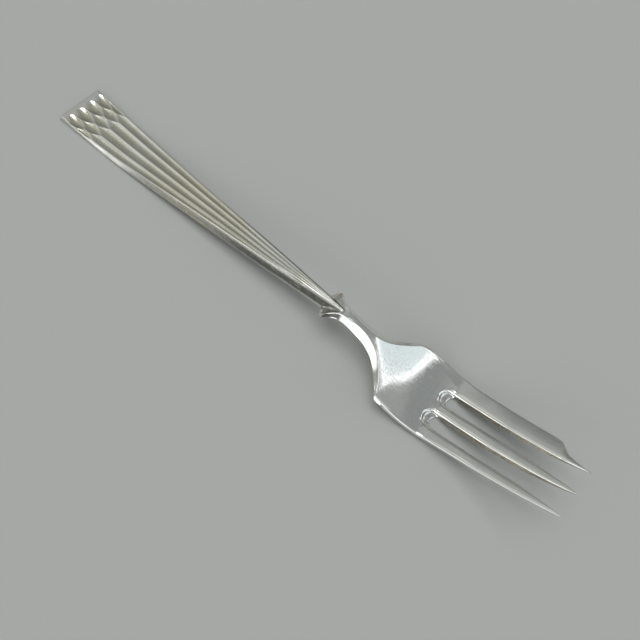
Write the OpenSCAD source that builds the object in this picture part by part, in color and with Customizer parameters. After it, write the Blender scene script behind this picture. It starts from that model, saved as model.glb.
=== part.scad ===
// Pastry fork with a fluted stem, a swallow-tailed neck and a wide cutting tine.
// +X runs from the square end of the stem to the tine tips, +Y is the side of the
// cutting tine, +Z is up. The fork lies on z = 0, hollow side up. All sizes in mm.

/* [Overall] */
// Length from the square end to the tips
fork_len = 150; // [120:1:200]
// Length of the stem from the square end to its point on the neck
stem_len = 91.6; // [73:0.2:122]

/* [Stem outline] */
// Half width of the fluted face at the square end
end_half_w = 6.2; // [4:0.1:9]
// Widest outward slope of the flanks below the edge ridges
flank_out = 1.32; // [0.5:0.02:2]
// Thickness of the stem at the square end
end_t = 1.05; // [0.8:0.05:2]
// Greatest thickness of the stem, near the neck
stem_t = 2.45; // [1.5:0.05:4]
// Height of the stem's underside where the tail begins
stem_rise = 6.5; // [4:0.1:10]
// Chamfer of the square end, along the stem
end_chamfer = 0.45; // [0.2:0.05:1]

/* [Flutes and lattice] */
// Greatest depth of a flute
flute_depth = 0.36; // [0.1:0.02:0.6]
// Place of the inner ridges between middle and edge
inner_ridge_share = 0.53; // [0.45:0.01:0.6]
// Half width of the narrow flat on each ridge, as a share of the half width
crest_share = 0.02; // [0.005:0.005:0.05]
// Depth of the drop-shaped scoops next to the square end
scoop_depth = 0.5; // [0.2:0.02:0.7]
// Distance of the scoops from the square end
scoop_start = 1.3; // [0.8:0.1:3]
// Length of a scoop
scoop_len = 7.3; // [5:0.1:14]
// Depth of the lens-shaped cells between scoops and flutes
lens_depth = 0.4; // [0.2:0.02:0.6]
// Distance of the lens-shaped cells from the square end
lens_start = 4.2; // [3:0.2:9]
// Length of a lens-shaped cell
lens_len = 8.2; // [4:0.2:12]
// Distance of the flutes' pointed starts from the square end
flute_start = 8.6; // [6:0.2:14]
// Length over which a flute widens from its point
flute_open = 3.8; // [2:0.2:8]

/* [Head] */
// Half width of the shoulder on the slim tine's side
near_shoulder = 8.64; // [6:0.05:12]
// Greatest half width on the cutting tine's side
far_reach = 9.28; // [7:0.05:13]
// Greatest outward slope of the neck's side walls
wall_out = 1.24; // [0.4:0.02:2]
// Height of the top of the neck
neck_top = 9.43; // [6:0.05:14]
// Height of the palm's top at its lowest place
palm_top = 1.395; // [1:0.02:2.5]
// Height of the tine tips
tip_top = 14.7; // [8:0.1:20]
// Thickness of the palm
palm_t = 1.42; // [1:0.02:2.5]
// How much lower the middle of the palm is than its edges
dish = 0.42; // [0:0.02:1]
// How much lower a tine's edges are than its middle
tine_crown = 0.16; // [0:0.01:0.4]
// How much the cutting tine is thinned towards its edge
cut_bevel = 0.45; // [0.2:0.02:1]

/* [Slots and tines] */
// Length of the tines as a share of the head's length
tine_share = 0.5488; // [0.45:0.002:0.62]
// Length of the sloping wall at the slots' roots
root_slope = 2.3; // [0.5:0.1:4]
// Half width of the middle tine at its root
mid_half_w = 1.2; // [0.8:0.05:2]
// Place of the slim tine's inner edge
near_inner = 4.78; // [3.5:0.02:6]
// Place of the cutting tine's inner edge
far_inner = 4.62; // [3.5:0.02:6]
// Place of the slim tine's tip
near_tip = 5.62; // [4:0.02:7]
// Place of the cutting tine's tip
far_tip = 5.25; // [4:0.02:7]

/* [Joint] */
// Thickness of the silver solder between stem and head
solder_t = 0.12; // [0.05:0.01:0.3]

/* [Hidden] */
silver = [0.78, 0.77, 0.74];
solder_col = [0.62, 0.60, 0.52];

// Stem: place along the stem, then underside, thickness, half width and flank,
// each as a share of stem_len, stem_rise, stem_t, end_half_w and flank_out.
stem_shares = [
  [0, 0, 0.43, 1, 0.3],
  [0.11, 0, 0.465, 0.915, 0.47],
  [0.17, 0, 0.49, 0.867, 0.55],
  [0.22, 0.018, 0.52, 0.825, 0.64],
  [0.284, 0.07, 0.58, 0.757, 0.68],
  [0.35, 0.146, 0.645, 0.69, 0.73],
  [0.415, 0.23, 0.694, 0.622, 0.76],
  [0.49, 0.326, 0.743, 0.542, 0.8],
  [0.633, 0.538, 0.81, 0.405, 0.87],
  [0.764, 0.738, 0.857, 0.28, 0.93],
  [0.895, 0.93, 0.94, 0.135, 0.98],
  [0.947, 1, 1, 0.08, 1],
  [0.977, 1.09, 0.857, 0.05, 0.76],
  [1, 1.192, 0.633, 0.032, 0.42]
];

// Places on the head count from the stem's point: ahead of it as a share of the
// head's length, behind it as a share of the stem's.
// Head outline: place, half width as a share of the shoulder
near_shares = [
  [-0.0535, 0.2026], [-0.0392, 0.413], [-0.0252, 0.2838], [-0.0109, 0.1732], [0.0001, 0.1252],
  [0.0155, 0.1037], [0.0581, 0.0859], [0.0926, 0.0854], [0.1267, 0.1003], [0.1542, 0.1407],
  [0.1866, 0.2196], [0.2056, 0.3079], [0.2295, 0.4499], [0.2467, 0.5793], [0.2705, 0.7737],
  [0.2962, 0.9989], [0.3322, 1], [0.3836, 0.9813], [0.4349, 0.9498], [0.4778, 0.9173],
  [0.5205, 0.8845], [0.589, 0.8478], [0.6576, 0.8161], [0.7259, 0.7952], [0.7945, 0.7713],
  [0.8631, 0.7457], [0.9145, 0.7173], [0.9571, 0.688], [0.9949, 0.6537], [1, 0.6478]
];
far_shares = [
  [-0.0535, 0.1883], [-0.0392, 0.3847], [-0.0252, 0.2643], [-0.0109, 0.162], [0.0001, 0.1164],
  [0.0155, 0.0972], [0.0581, 0.0794], [0.0926, 0.0778], [0.1267, 0.0888], [0.1542, 0.124],
  [0.1866, 0.1946], [0.2056, 0.2735], [0.2295, 0.3992], [0.2467, 0.5156], [0.2705, 0.6733],
  [0.2962, 0.8518], [0.3322, 0.9379], [0.3836, 0.9782], [0.4349, 1], [0.4863, 0.9994],
  [0.5461, 0.9776], [0.6062, 0.9663], [0.6576, 0.965], [0.7259, 0.9562], [0.7945, 0.9424],
  [0.8492, 0.9314], [0.8785, 0.9101], [0.8973, 0.8079], [0.9145, 0.7269], [0.9314, 0.6844],
  [0.9761, 0.6247], [1, 0.5659]
];
// Head heights: place, share of the rise from the palm to the neck, and to the tips
rise_shares = [
  [-0.0535, 0.677, 0], [-0.0392, 0.721, 0], [-0.0252, 0.79, 0], [-0.0109, 0.883, 0], [0.0001, 0.965, 0],
  [0.0155, 1, 0], [0.0581, 1.002, 0], [0.0926, 0.984, 0], [0.1182, 0.946, 0], [0.1524, 0.859, 0],
  [0.1884, 0.734, 0], [0.2328, 0.56, 0], [0.2723, 0.397, 0], [0.2962, 0.316, 0], [0.3494, 0.148, 0],
  [0.392, 0.042, 0], [0.4265, 0.004, 0], [0.4521, 0, 0], [0.4778, 0, 0.006], [0.512, 0, 0.0401],
  [0.5377, 0, 0.0777], [0.5718, 0, 0.1338], [0.6062, 0, 0.1942], [0.654, 0, 0.2694],
  [0.7021, 0, 0.3561], [0.7449, 0, 0.4462], [0.7927, 0, 0.5442], [0.8356, 0, 0.6387],
  [0.8785, 0, 0.7324], [0.9178, 0, 0.8205], [0.9571, 0, 0.9085], [1, 0, 1]
];
// Head section: place, rim above middle as a share of dish, thickness in the
// middle and at the edge as shares of palm_t, slope of the wall as a share of wall_out
section_shares = [
  [-0.0535, 0.24, 0.14, 0.11, 0.04], [-0.0392, 1.57, 0.18, 0.42, 0.26],
  [-0.0252, 1.55, 0.39, 0.63, 0.6], [-0.0109, 1.19, 0.7, 0.85, 0.8],
  [0.0001, 0.36, 0.92, 0.95, 0.89], [0.0155, 0, 1, 1, 0.92],
  [0.0581, 0, 1.02, 1.02, 0.97], [0.0926, 0.05, 0.95, 0.92, 1],
  [0.1884, 0.4, 0.88, 0.7, 1.05], [0.25, 1.05, 0.9, 0.42, 0.8],
  [0.2962, 1.9, 0.95, 0.28, 0.36], [0.3494, 2.3, 1, 0.32, 0.24],
  [0.4521, 1.6, 1, 0.42, 0.16], [0.5205, 1, 0.92, 0.56, 0.13],
  [0.6576, 0.4, 0.81, 0.56, 0.1], [0.8287, 0.1, 0.67, 0.5, 0.08],
  [1, 0, 0.5, 0.42, 0.06]
];
// Where the thinning of the cutting tine begins: place, share of its half width
bevel_shares = [
  [0.2808, 0.99], [0.2993, 0.985], [0.351, 0.911], [0.3991, 0.835], [0.447, 0.775],
  [0.4954, 0.65], [0.5272, 0.57], [0.5634, 0.5], [0.8492, 0.54], [0.9145, 0.72], [1, 0.93]
];
// Half width of the middle tine: place, share of mid_half_w
mid_shares = [
  [0.4863, 1], [0.6918, 0.96], [0.8279, 0.82], [0.8801, 0.72], [0.9145, 0.62],
  [0.9571, 0.42], [0.9864, 0.2], [1, 0.06]
];
// Inner edges of the outer tines: place, share of the way from root to tip
inner_shares = [
  [0.4863, 0], [0.8459, 0.04], [0.9145, 0.14], [0.9589, 0.4], [1, 0.88]
];

flutes = 4;
flute_cuts = 10;
tiny_share = 0.001;
ridges = [-1, -inner_ridge_share, 0, inner_ridge_share, 1];

head_len = fork_len - stem_len;
root_x = fork_len - tine_share * head_len;

function column(tab, c, sx, sy) = [for (row = tab) [row[0] * sx, row[c] * sy]];
function head_x(place) = stem_len + place * (place < 0 ? stem_len : head_len);
function head_column(tab, c, sy) = [for (row = tab) [head_x(row[0]), row[c] * sy]];
function soft(x, d, tab) = (lookup(x - d, tab) + 2 * lookup(x, tab) + lookup(x + d, tab)) / 4;

under_tab = column(stem_shares, 1, stem_len, stem_rise);
thick_tab = column(stem_shares, 2, stem_len, stem_t);
width_tab = column(stem_shares, 3, stem_len, end_half_w);
flank_tab = column(stem_shares, 4, stem_len, flank_out);
near_tab = head_column(near_shares, 1, near_shoulder);
far_tab = head_column(far_shares, 1, far_reach);
rise_tab = [for (row = rise_shares) [head_x(row[0]),
  palm_top + row[1] * (neck_top - palm_top) + row[2] * (tip_top - palm_top)]];
dish_tab = head_column(section_shares, 1, dish);
mid_t_tab = head_column(section_shares, 2, palm_t);
edge_t_tab = head_column(section_shares, 3, palm_t);
wall_tab = head_column(section_shares, 4, wall_out);
bevel_tab = head_column(bevel_shares, 1, 1);
mid_tab = head_column(mid_shares, 1, mid_half_w);
inner_tab = head_column(inner_shares, 1, 1);
ease_tab = [[stem_len, tiny_share * stem_len], [head_x(0.1), 0.016 * head_len]];

function ease(x) = lookup(x, ease_tab);
function stem_ease(x) = min(0.0273 * stem_len, (stem_len - x) / 2);
function stem_under(x) = soft(x, stem_ease(x), under_tab);
function stem_thick(x) = soft(x, stem_ease(x), thick_tab);
function stem_half(x) = soft(x, stem_ease(x), width_tab);
function stem_flank(x) = soft(x, stem_ease(x), flank_tab);

// Depth of the worked face at place x along the stem, v across as a share
function bowl(u, a) = a <= tiny_share ? 0 : a * max(0, 1 - pow(u / a, 2));
function ogive(t) = 1 - pow(min(1, abs(t)), 1.7);
function scoop_open(s) = s <= 0 || s >= 1 ? 0
  : s < 0.36 ? sqrt(1 - pow(1 - s / 0.36, 2)) : ogive((s - 0.36) / 0.64);
function lens_open(s) = s <= 0 || s >= 1 ? 0
  : s < 0.53 ? ogive((0.53 - s) / 0.53) : ogive((s - 0.53) / 0.47);
function flute_opened(x) = x <= flute_start ? 0
  : x >= flute_start + flute_open ? 1 : ogive(1 - (x - flute_start) / flute_open);
function flute_at(x, v, i) =
  let (half = (ridges[i + 1] - ridges[i]) / 2,
    u = abs(v - (ridges[i + 1] + ridges[i]) / 2) / half)
  max(flute_depth * (0.2 + 0.8 * stem_half(x) / end_half_w)
      * bowl(u, flute_opened(x) * (1 - crest_share / half)),
    scoop_depth * bowl(u, 1.12 * scoop_open((x - scoop_start) / scoop_len)));
function lens_at(x, v, i) = lens_depth * bowl(abs(v - ridges[i]) / 0.25,
  1.1 * lens_open((x - lens_start) / lens_len));
function rim_mask(v) = min(1, (1 - abs(v)) / 0.05);
function point_mask(x) = min(1, (stem_len - x) / scoop_start);
function worked(x, v) = rim_mask(v) * point_mask(x) * max(concat(
  [for (i = [0 : flutes - 1]) flute_at(x, v, i)],
  [for (i = [0 : flutes]) lens_at(x, v, i)]));

across = concat([for (i = [0 : flutes - 1]) for (k = [0 : flute_cuts - 1])
  ridges[i] + (ridges[i + 1] - ridges[i]) * k / flute_cuts], [1]);
fine_to = flute_start + flute_open + scoop_start;
fine_n = 46;
coarse_n = 20;
tongue_n = 10;
tongue_from = 0.925 * stem_len;
solder_first = 4;
tongue_places = [for (i = [0 : tongue_n]) tongue_from + (stem_len - tongue_from) * i / tongue_n];
stem_places = concat([0],
  [for (i = [0 : fine_n]) end_chamfer + (fine_to - end_chamfer) * i / fine_n],
  [for (i = [1 : coarse_n - 1]) fine_to + (tongue_from - fine_to) * i / coarse_n],
  tongue_places);

function end_drop(x) = x < end_chamfer ? 0.35 * end_t * (1 - x / end_chamfer) : 0;
function end_band(x) = x < scoop_start ? 0.06 * end_t * (1 - x / scoop_start) : 0;
function stem_top(x) = stem_under(x) + stem_thick(x) - end_drop(x) - end_band(x);
// Lower points of a section, grown by g on all sides
function stem_base(x, s, g) =
  let (b = stem_under(x), w = stem_half(x) + stem_flank(x))
  [[s, w + g, b + end_t * 0.2], [s, w * 0.94 + g, b - g],
    [s, -w * 0.94 - g, b - g], [s, -w - g, b + end_t * 0.2]];
function stem_section(x) = concat(
  [for (v = across) [x, v * stem_half(x), stem_top(x) - worked(x, v)]],
  stem_base(x, x, 0));
function tongue_section(i, g) =
  let (x = tongue_places[i], s = x + g * i / tongue_n, w = stem_half(x) + g, t = stem_top(x))
  concat([[s, -w, t + end_t], [s, w, t + end_t], [s, w, t]], stem_base(x, s, g), [[s, -w, t]]);

// Closed skin over a row of sections that all have the same number of points
module skin(sections) {
  n = len(sections[0]);
  m = len(sections);
  polyhedron(
    points = [for (sec = sections) for (p = sec) p],
    faces = concat(
      [[for (k = [n - 1 : -1 : 0]) k]],
      [for (i = [0 : m - 2]) for (k = [0 : n - 1])
        [i * n + k, i * n + (k + 1) % n, (i + 1) * n + (k + 1) % n, (i + 1) * n + k]],
      [[for (k = [0 : n - 1]) (m - 1) * n + (k + n - 1) % n]]),
    convexity = 8);
}

module stem_body() {
  skin([for (x = stem_places) stem_section(x)]);
}

// End of the stem, grown by g and open upwards: the shape of the head's notch
module tongue(g) {
  for (i = [0 : tongue_n - 1])
    hull()
      skin([tongue_section(i, g), tongue_section(i + 1, g)]);
}

// Head: a grid of cells, with rows along the fork and columns across it. Cells of
// the slots are left out past the roots, and walls close the skin around the rest.
near_n = 4;
mid_n = 4;
far_n = 6;
slot_n = 8;
near_end = near_n;
mid_start = near_n + slot_n;
mid_end = mid_start + mid_n;
far_start = mid_end + slot_n;
columns = far_start + far_n;

spur_places = [for (s = [-0.0535, -0.0461, -0.0392, -0.0338, -0.0252, -0.0175, -0.0109, -0.0052, 0.0001, 0.0155])
  head_x(s)];
neck_n = 22;
palm_from = head_x(0.0155);
blend_from = root_x - 1.6 * root_slope;
blend_n = 6;
tine_n = 13;
tip_shares = [0.8492, 0.8652, 0.8785, 0.8883, 0.8973, 0.9057, 0.9145, 0.9314, 0.9461, 0.9615, 0.9761, 0.9897, 1];
root_row = len(spur_places) + neck_n + blend_n - 1;
rows = root_row + tine_n + len(tip_shares) - 1;

function near_w(x) = soft(x, ease(x) / 2, near_tab);
function far_w(x) = soft(x, ease(x) / 2, far_tab);
function mid_z(x) = soft(x, ease(x), rise_tab);
function head_dish(x) = soft(x, ease(x), dish_tab);
function wall(x) = lookup(x, wall_tab);
function bevel_from(x) = max(far_w(x) * lookup(x, bevel_tab),
  between(inner_edge(x, far_inner, far_tip), far_w(x), 0.3));
function half_at(x, y) = y < 0 ? near_w(x) : far_w(x);
function thinned(x, y) = y <= bevel_from(x) ? 0
  : cut_bevel * lookup(x, [[head_x(0.2993), 0], [head_x(0.4863), 1]])
    * (y - bevel_from(x)) / (far_w(x) - bevel_from(x));
function over_z(x, y) = mid_z(x) + head_dish(x) * pow(y / half_at(x, y), 2);
function tine_half(x, j) =
  j <= near_end ? (near_w(x) - inner_edge(x, near_inner, near_tip)) / 2
  : j <= mid_end ? lookup(x, mid_tab)
  : (far_w(x) - inner_edge(x, far_inner, far_tip)) / 2;
function tine_across(j) = j <= near_end ? 2 * j / near_n - 1
  : j <= mid_end ? 2 * (j - mid_start) / mid_n - 1 : 2 * (j - far_start) / far_n - 1;
function domed(x, j) = tine_crown * min(1, tine_half(x, j) / mid_half_w)
  * min(1, max(0, (x - root_x) / (2 * root_slope))) * pow(tine_across(j), 2);
function thick_at(x, y) = lookup(x, mid_t_tab)
  + (lookup(x, edge_t_tab) - lookup(x, mid_t_tab)) * pow(y / half_at(x, y), 2);
function widened(x, y) = y * (1 + wall(x) / half_at(x, y));

function between(a, b, t) = a + (b - a) * t;
function in_slot(j) = (j > near_end && j < mid_start) || (j > mid_end && j < far_start);
function slot_angle(j) = j < mid_start ? 180 * (j - near_end) / slot_n : 180 * (j - mid_end) / slot_n;
function slot_radius(j) = ((j < mid_start ? near_inner : far_inner) - mid_half_w) / 2;
function slot_middle(j) = (j < mid_start ? -1 : 1) * (mid_half_w + slot_radius(j));
root_reach = (near_inner - mid_half_w) / 2;

// Across: place of column j in the row through the roots, as a share of the half width
function root_y(j) =
  j <= near_end ? between(-near_w(root_x), -near_inner, j / near_n)
  : j < mid_start ? slot_middle(j) - slot_radius(j) * cos(slot_angle(j))
  : j <= mid_end ? between(-mid_half_w, mid_half_w, (j - mid_start) / mid_n)
  : j < far_start ? slot_middle(j) - slot_radius(j) * cos(slot_angle(j))
  : between(far_inner, far_w(root_x), (j - far_start) / far_n);
root_ys = [for (j = [0 : columns]) root_y(j) / half_at(root_x, root_y(j))];
function last_x(j) = root_x + root_reach - (in_slot(j) ? slot_radius(j) * sin(slot_angle(j)) : 0);
function inner_edge(x, root, tip) = between(root, tip, lookup(x, inner_tab));
function tine_y(x, j) =
  j <= near_end ? between(-near_w(x), -inner_edge(x, near_inner, near_tip), j / near_n)
  : j < mid_start ? -near_inner
  : j <= mid_end ? lookup(x, mid_tab) * (2 * (j - mid_start) / mid_n - 1)
  : j < far_start ? far_inner
  : j <= far_start + far_n / 2
    ? between(inner_edge(x, far_inner, far_tip), bevel_from(x), (j - far_start) / (far_n / 2))
  : between(bevel_from(x), far_w(x), (j - far_start - far_n / 2) / (far_n / 2));

// Along: place of row i at column j; the underside's slot roots lie further on by root_slope
function early(i) = i < len(spur_places) ? spur_places[i]
  : between(palm_from, blend_from, (i - len(spur_places) + 1) / neck_n);
function late(k) = k <= tine_n
  ? between(root_x + root_reach, head_x(tip_shares[0]), k / tine_n)
  : head_x(tip_shares[k - tine_n]);
function grid_x(i, j, under) =
  i > root_row ? late(i - root_row) + under * root_slope * max(0, 1 - (i - root_row) / (tine_n / 2))
  : i > root_row - blend_n
    ? between(blend_from, last_x(j) + under * root_slope, (i - root_row + blend_n) / blend_n)
  : early(i);
function grid_xy(i, j, under) =
  let (x = grid_x(i, j, under))
  [x, i > root_row ? tine_y(x, j) : root_ys[j] * (root_ys[j] < 0 ? near_w(x) : far_w(x))];
function top_point(i, j) =
  let (p = grid_xy(i, j, 0))
  [p[0], p[1], over_z(p[0], p[1]) - thinned(p[0], p[1]) - (i > root_row ? domed(p[0], j) : 0)];
function under_point(i, j) =
  let (p = grid_xy(i, j, 1))
  [p[0], widened(p[0], p[1]), over_z(p[0], p[1]) - thick_at(p[0], p[1])];

function metal(i, j) = i >= 0 && i < rows && j >= 0 && j < columns
  && (i < root_row || j < near_end || (j >= mid_start && j < mid_end) || j >= far_start);
stride = columns + 1;
layer = (rows + 1) * stride;
function at(i, j) = i * stride + j;

module head_body() {
  polyhedron(
    points = concat(
      [for (i = [0 : rows]) for (j = [0 : columns]) top_point(i, j)],
      [for (i = [0 : rows]) for (j = [0 : columns]) under_point(i, j)]),
    faces = [for (i = [0 : rows - 1]) for (j = [0 : columns - 1]) if (metal(i, j)) each concat(
      [[at(i, j), at(i, j + 1), at(i + 1, j + 1), at(i + 1, j)]],
      [[for (q = [at(i + 1, j), at(i + 1, j + 1), at(i, j + 1), at(i, j)]) layer + q]],
      metal(i - 1, j) ? [] : [wall_face(at(i, j), at(i, j + 1))],
      metal(i + 1, j) ? [] : [wall_face(at(i + 1, j + 1), at(i + 1, j))],
      metal(i, j - 1) ? [] : [wall_face(at(i + 1, j), at(i, j))],
      metal(i, j + 1) ? [] : [wall_face(at(i, j + 1), at(i + 1, j + 1))])],
    convexity = 8);
}
function wall_face(a, b) = [b, a, layer + a, layer + b];

y_low = min([for (i = [0 : rows]) under_point(i, 0)[1]]);
y_high = max([for (i = [0 : rows]) under_point(i, columns)[1]]);

// Frame: the origin is in the middle of the fork's box, on the table
module at_origin() {
  translate([-fork_len / 2, -(y_low + y_high) / 2, 0])
    children();
}

module handle() {
  color(silver)
    at_origin()
      stem_body();
}

module fork_head() {
  color(silver)
    at_origin()
      difference() {
        head_body();
        tongue(solder_t);
      }
}

// Solder: a ribbon that runs along one flank of the tongue, round its point and back
function flank_y(x, z) =
  stem_half(x) + stem_flank(x) * (stem_top(x) - z) / (stem_top(x) - stem_under(x) - end_t * 0.2);
function solder_ends(x) =
  let (y = flank_y(x, mid_z(x)), z = over_z(x, y), t = thick_at(x, y), inset = solder_t / 4)
  [max(z - t, stem_under(x) + end_t * 0.2) + inset, z - inset];
function solder_section(i, side) =
  let (x = tongue_places[i], s = x + solder_t * i / tongue_n, z = solder_ends(x),
    low = flank_y(x, z[0]), high = flank_y(x, z[1]))
  [[x, side * high, z[1]], [x, side * low, z[0]],
    [s, side * (low + solder_t), z[0]], [s, side * (high + solder_t), z[1]]];
module solder_joint() {
  color(solder_col)
    at_origin()
      skin(concat([for (i = [solder_first : tongue_n]) solder_section(i, -1)],
        [for (i = [tongue_n : -1 : solder_first]) solder_section(i, 1)]));
}

handle();
fork_head();
solder_joint();
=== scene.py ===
"""Looks of the pastry fork: silver stem, silver head and the solder seam between them.

All sizes below are in millimetres, in the fork's own place along its length: x runs from
the square end (0) to the tine tips, y = 0 is the stem's middle, z = 0 is the table. They
repeat the CAD part's sizes. to_frame() moves them into the shared frame, in metres.
"""
import math
import bpy
import numpy as np
from mathutils import Matrix, Vector


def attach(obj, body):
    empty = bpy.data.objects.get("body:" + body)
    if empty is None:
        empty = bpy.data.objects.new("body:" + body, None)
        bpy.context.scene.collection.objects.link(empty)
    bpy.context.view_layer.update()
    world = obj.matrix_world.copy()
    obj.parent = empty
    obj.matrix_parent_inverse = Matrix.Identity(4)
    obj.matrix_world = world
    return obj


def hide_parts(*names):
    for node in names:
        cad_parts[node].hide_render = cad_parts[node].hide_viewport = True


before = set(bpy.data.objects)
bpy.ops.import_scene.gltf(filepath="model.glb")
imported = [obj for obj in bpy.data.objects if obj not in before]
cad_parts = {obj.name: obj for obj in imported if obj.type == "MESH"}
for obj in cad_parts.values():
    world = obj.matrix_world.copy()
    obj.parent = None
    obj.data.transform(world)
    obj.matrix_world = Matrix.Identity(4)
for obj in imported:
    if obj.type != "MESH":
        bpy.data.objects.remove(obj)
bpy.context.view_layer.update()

# Sizes of the CAD part
FORK_LEN = 150.0
Y_MIDDLE = 0.2187  # from the stem's middle line to the middle of the fork's box
STEM_LEN = 91.6
END_HALF_W = 6.2
FLANK_OUT = 1.32
END_T = 1.05
STEM_T = 2.45
STEM_RISE = 6.5
FLUTE_DEPTH = 0.36
NECK_FLUTE = 0.2  # share of the flutes' depth that is left where the stem has no width
INNER_RIDGE = 0.53
CREST = 0.02
SCOOP_DEPTH, SCOOP_START, SCOOP_LEN = 0.5, 1.3, 7.3
SCOOP_SHALLOW, SCOOP_FULL = 0.3, 0.6  # share of the depth at its start, of the way to all of it
LENS_DEPTH, LENS_START, LENS_LEN = 0.4, 4.2, 8.2
LENS_HALF = 0.25
SCOOP_WIDEN, LENS_WIDEN = 1.12, 1.1
CELL_SHARPNESS = 14.0
FACE_RIM = 0.05
BAND_DROP = 0.06
KNEE = 0.2
FLUTE_START, FLUTE_OPEN = 8.6, 3.8
NEAR_SHOULDER, FAR_REACH = 8.64, 9.277
WALL_OUT = 1.24
NECK_TOP, PALM_TOP, TIP_TOP = 9.43, 1.395, 14.7
PALM_T, DISH, TINE_CROWN, CUT_BEVEL = 1.42, 0.42, 0.16, 0.45
ROOT_X, ROOT_SLOPE = 117.95, 2.3
MID_HALF_W = 1.2
NEAR_INNER, FAR_INNER, NEAR_TIP, FAR_TIP = 4.78, 4.62, 5.62, 5.25
SOLDER_T = 0.12
SPUR_FROM = 86.75
BEVEL_FROM_X, BEVEL_GROWS, BEVEL_FOLD, BEVEL_LEAST = 109.1, 8.0, 0.05, 0.3

# Fine forms of this scene alone

# How deep and how wide the top rolls off next to the edges, and where the palm's way of
# rolling off gives way to the tines' way
PALM_ROLL, OUTER_ROLL, TINE_ROLL, ROLL_WIDE = 0.38, 0.13, 0.21, 0.5
OUTER_FROM, OUTER_OVER, NOTCH_OVER = ROOT_X - 10, 24, 6
ROOT_ROLL, ROOT_ROLL_WIDE = 0.32, 0.62
BEHIND_TURN, BEHIND_SOFT, BEHIND_LEAST = 0.55, 0.4, 0.1  # hardly any right behind a root
SLOT_CROWN_OVER, OUTER_CROWN_OVER = 2 * ROOT_SLOPE, 14
STEM_ROLL, STEM_ROLL_WIDE, STEM_ROLL_MOST = 0.28, 0.38, 0.4
FAR_EDGE_ROLL = 0.4  # share of the stem's roll-off that its far edge has
# Shallow dip that the press left round each slot's root
RING_DROP, RING_OUT, RING_WIDE = 0.035, 0.9, 0.45
SLOT_FLARE = 0.45
# The palm's middle line is evened out between these places, fading over the last length
EVEN_FROM, EVEN_TO, EVEN_FADE = 98.0, 116.0, 4.0
END_ROUND, CAP_SHARE = 0.3, 0.97
FLANK_BOW = 0.03
EDGE_FILLET, KNEE_FILLET, RIM_FILLET = 0.13, 0.2, 0.1
# Ramp at a slot's root: share of the way out, share of the way down
RAMP = [
    (0.05, 0.035), (0.1, 0.09), (0.15, 0.165), (0.2, 0.285), (0.25, 0.415), (0.3, 0.525),
    (0.35, 0.6), (0.42, 0.67), (0.5, 0.722), (0.7, 0.822), (0.88, 0.905),
]
NUDGE, TINY = 0.001, 1e-9

# Tables of the CAD part

# Stem: place, underside, thickness, half width, flank (shares, as in the CAD part)
STEM = [
    (0, 0, 0.43, 1, 0.3), (0.11, 0, 0.465, 0.915, 0.47), (0.17, 0, 0.49, 0.867, 0.55),
    (0.22, 0.018, 0.52, 0.825, 0.64), (0.284, 0.07, 0.58, 0.757, 0.68),
    (0.35, 0.146, 0.645, 0.69, 0.73), (0.415, 0.23, 0.694, 0.622, 0.76),
    (0.49, 0.326, 0.743, 0.542, 0.8), (0.633, 0.538, 0.81, 0.405, 0.87),
    (0.764, 0.738, 0.857, 0.28, 0.93), (0.895, 0.93, 0.94, 0.135, 0.98),
    (0.947, 1, 1, 0.08, 1), (0.977, 1.09, 0.857, 0.05, 0.76), (1, 1.192, 0.633, 0.032, 0.42),
]
# Head: place as a share of the fork's length, then shares of the named sizes; first the
# outline on the near and on the far side
NEAR = [
    (0.578, 0.2026), (0.5867, 0.413), (0.5953, 0.2838), (0.604, 0.1732), (0.6107, 0.1252),
    (0.6167, 0.1037), (0.6333, 0.0859), (0.6467, 0.0854), (0.66, 0.1003), (0.6707, 0.1407),
    (0.6833, 0.2196), (0.6907, 0.3079), (0.7, 0.4499), (0.7067, 0.5793), (0.716, 0.7737),
    (0.726, 0.9989), (0.74, 1), (0.76, 0.9813), (0.78, 0.9498), (0.7967, 0.9173), (0.8133, 0.8845),
    (0.84, 0.8478), (0.8667, 0.8161), (0.8933, 0.7952), (0.92, 0.7713), (0.9467, 0.7457),
    (0.9667, 0.7173), (0.9833, 0.688), (0.998, 0.6537), (1, 0.6478),
]
FAR = [
    (0.578, 0.1883), (0.5867, 0.3847), (0.5953, 0.2643), (0.604, 0.162), (0.6107, 0.1164),
    (0.6167, 0.0972), (0.6333, 0.0794), (0.6467, 0.0778), (0.66, 0.0888), (0.6707, 0.124),
    (0.6833, 0.1946), (0.6907, 0.2735), (0.7, 0.3992), (0.7067, 0.5156), (0.716, 0.6733),
    (0.726, 0.8518), (0.74, 0.9379), (0.76, 0.9782), (0.78, 1), (0.8, 0.9994), (0.8233, 0.9776),
    (0.8467, 0.9663), (0.8667, 0.965), (0.8933, 0.9562), (0.92, 0.9424), (0.9413, 0.9314),
    (0.9527, 0.9101), (0.96, 0.8079), (0.9667, 0.7269), (0.9733, 0.6844), (0.9907, 0.6247),
    (1, 0.5659),
]
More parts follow.
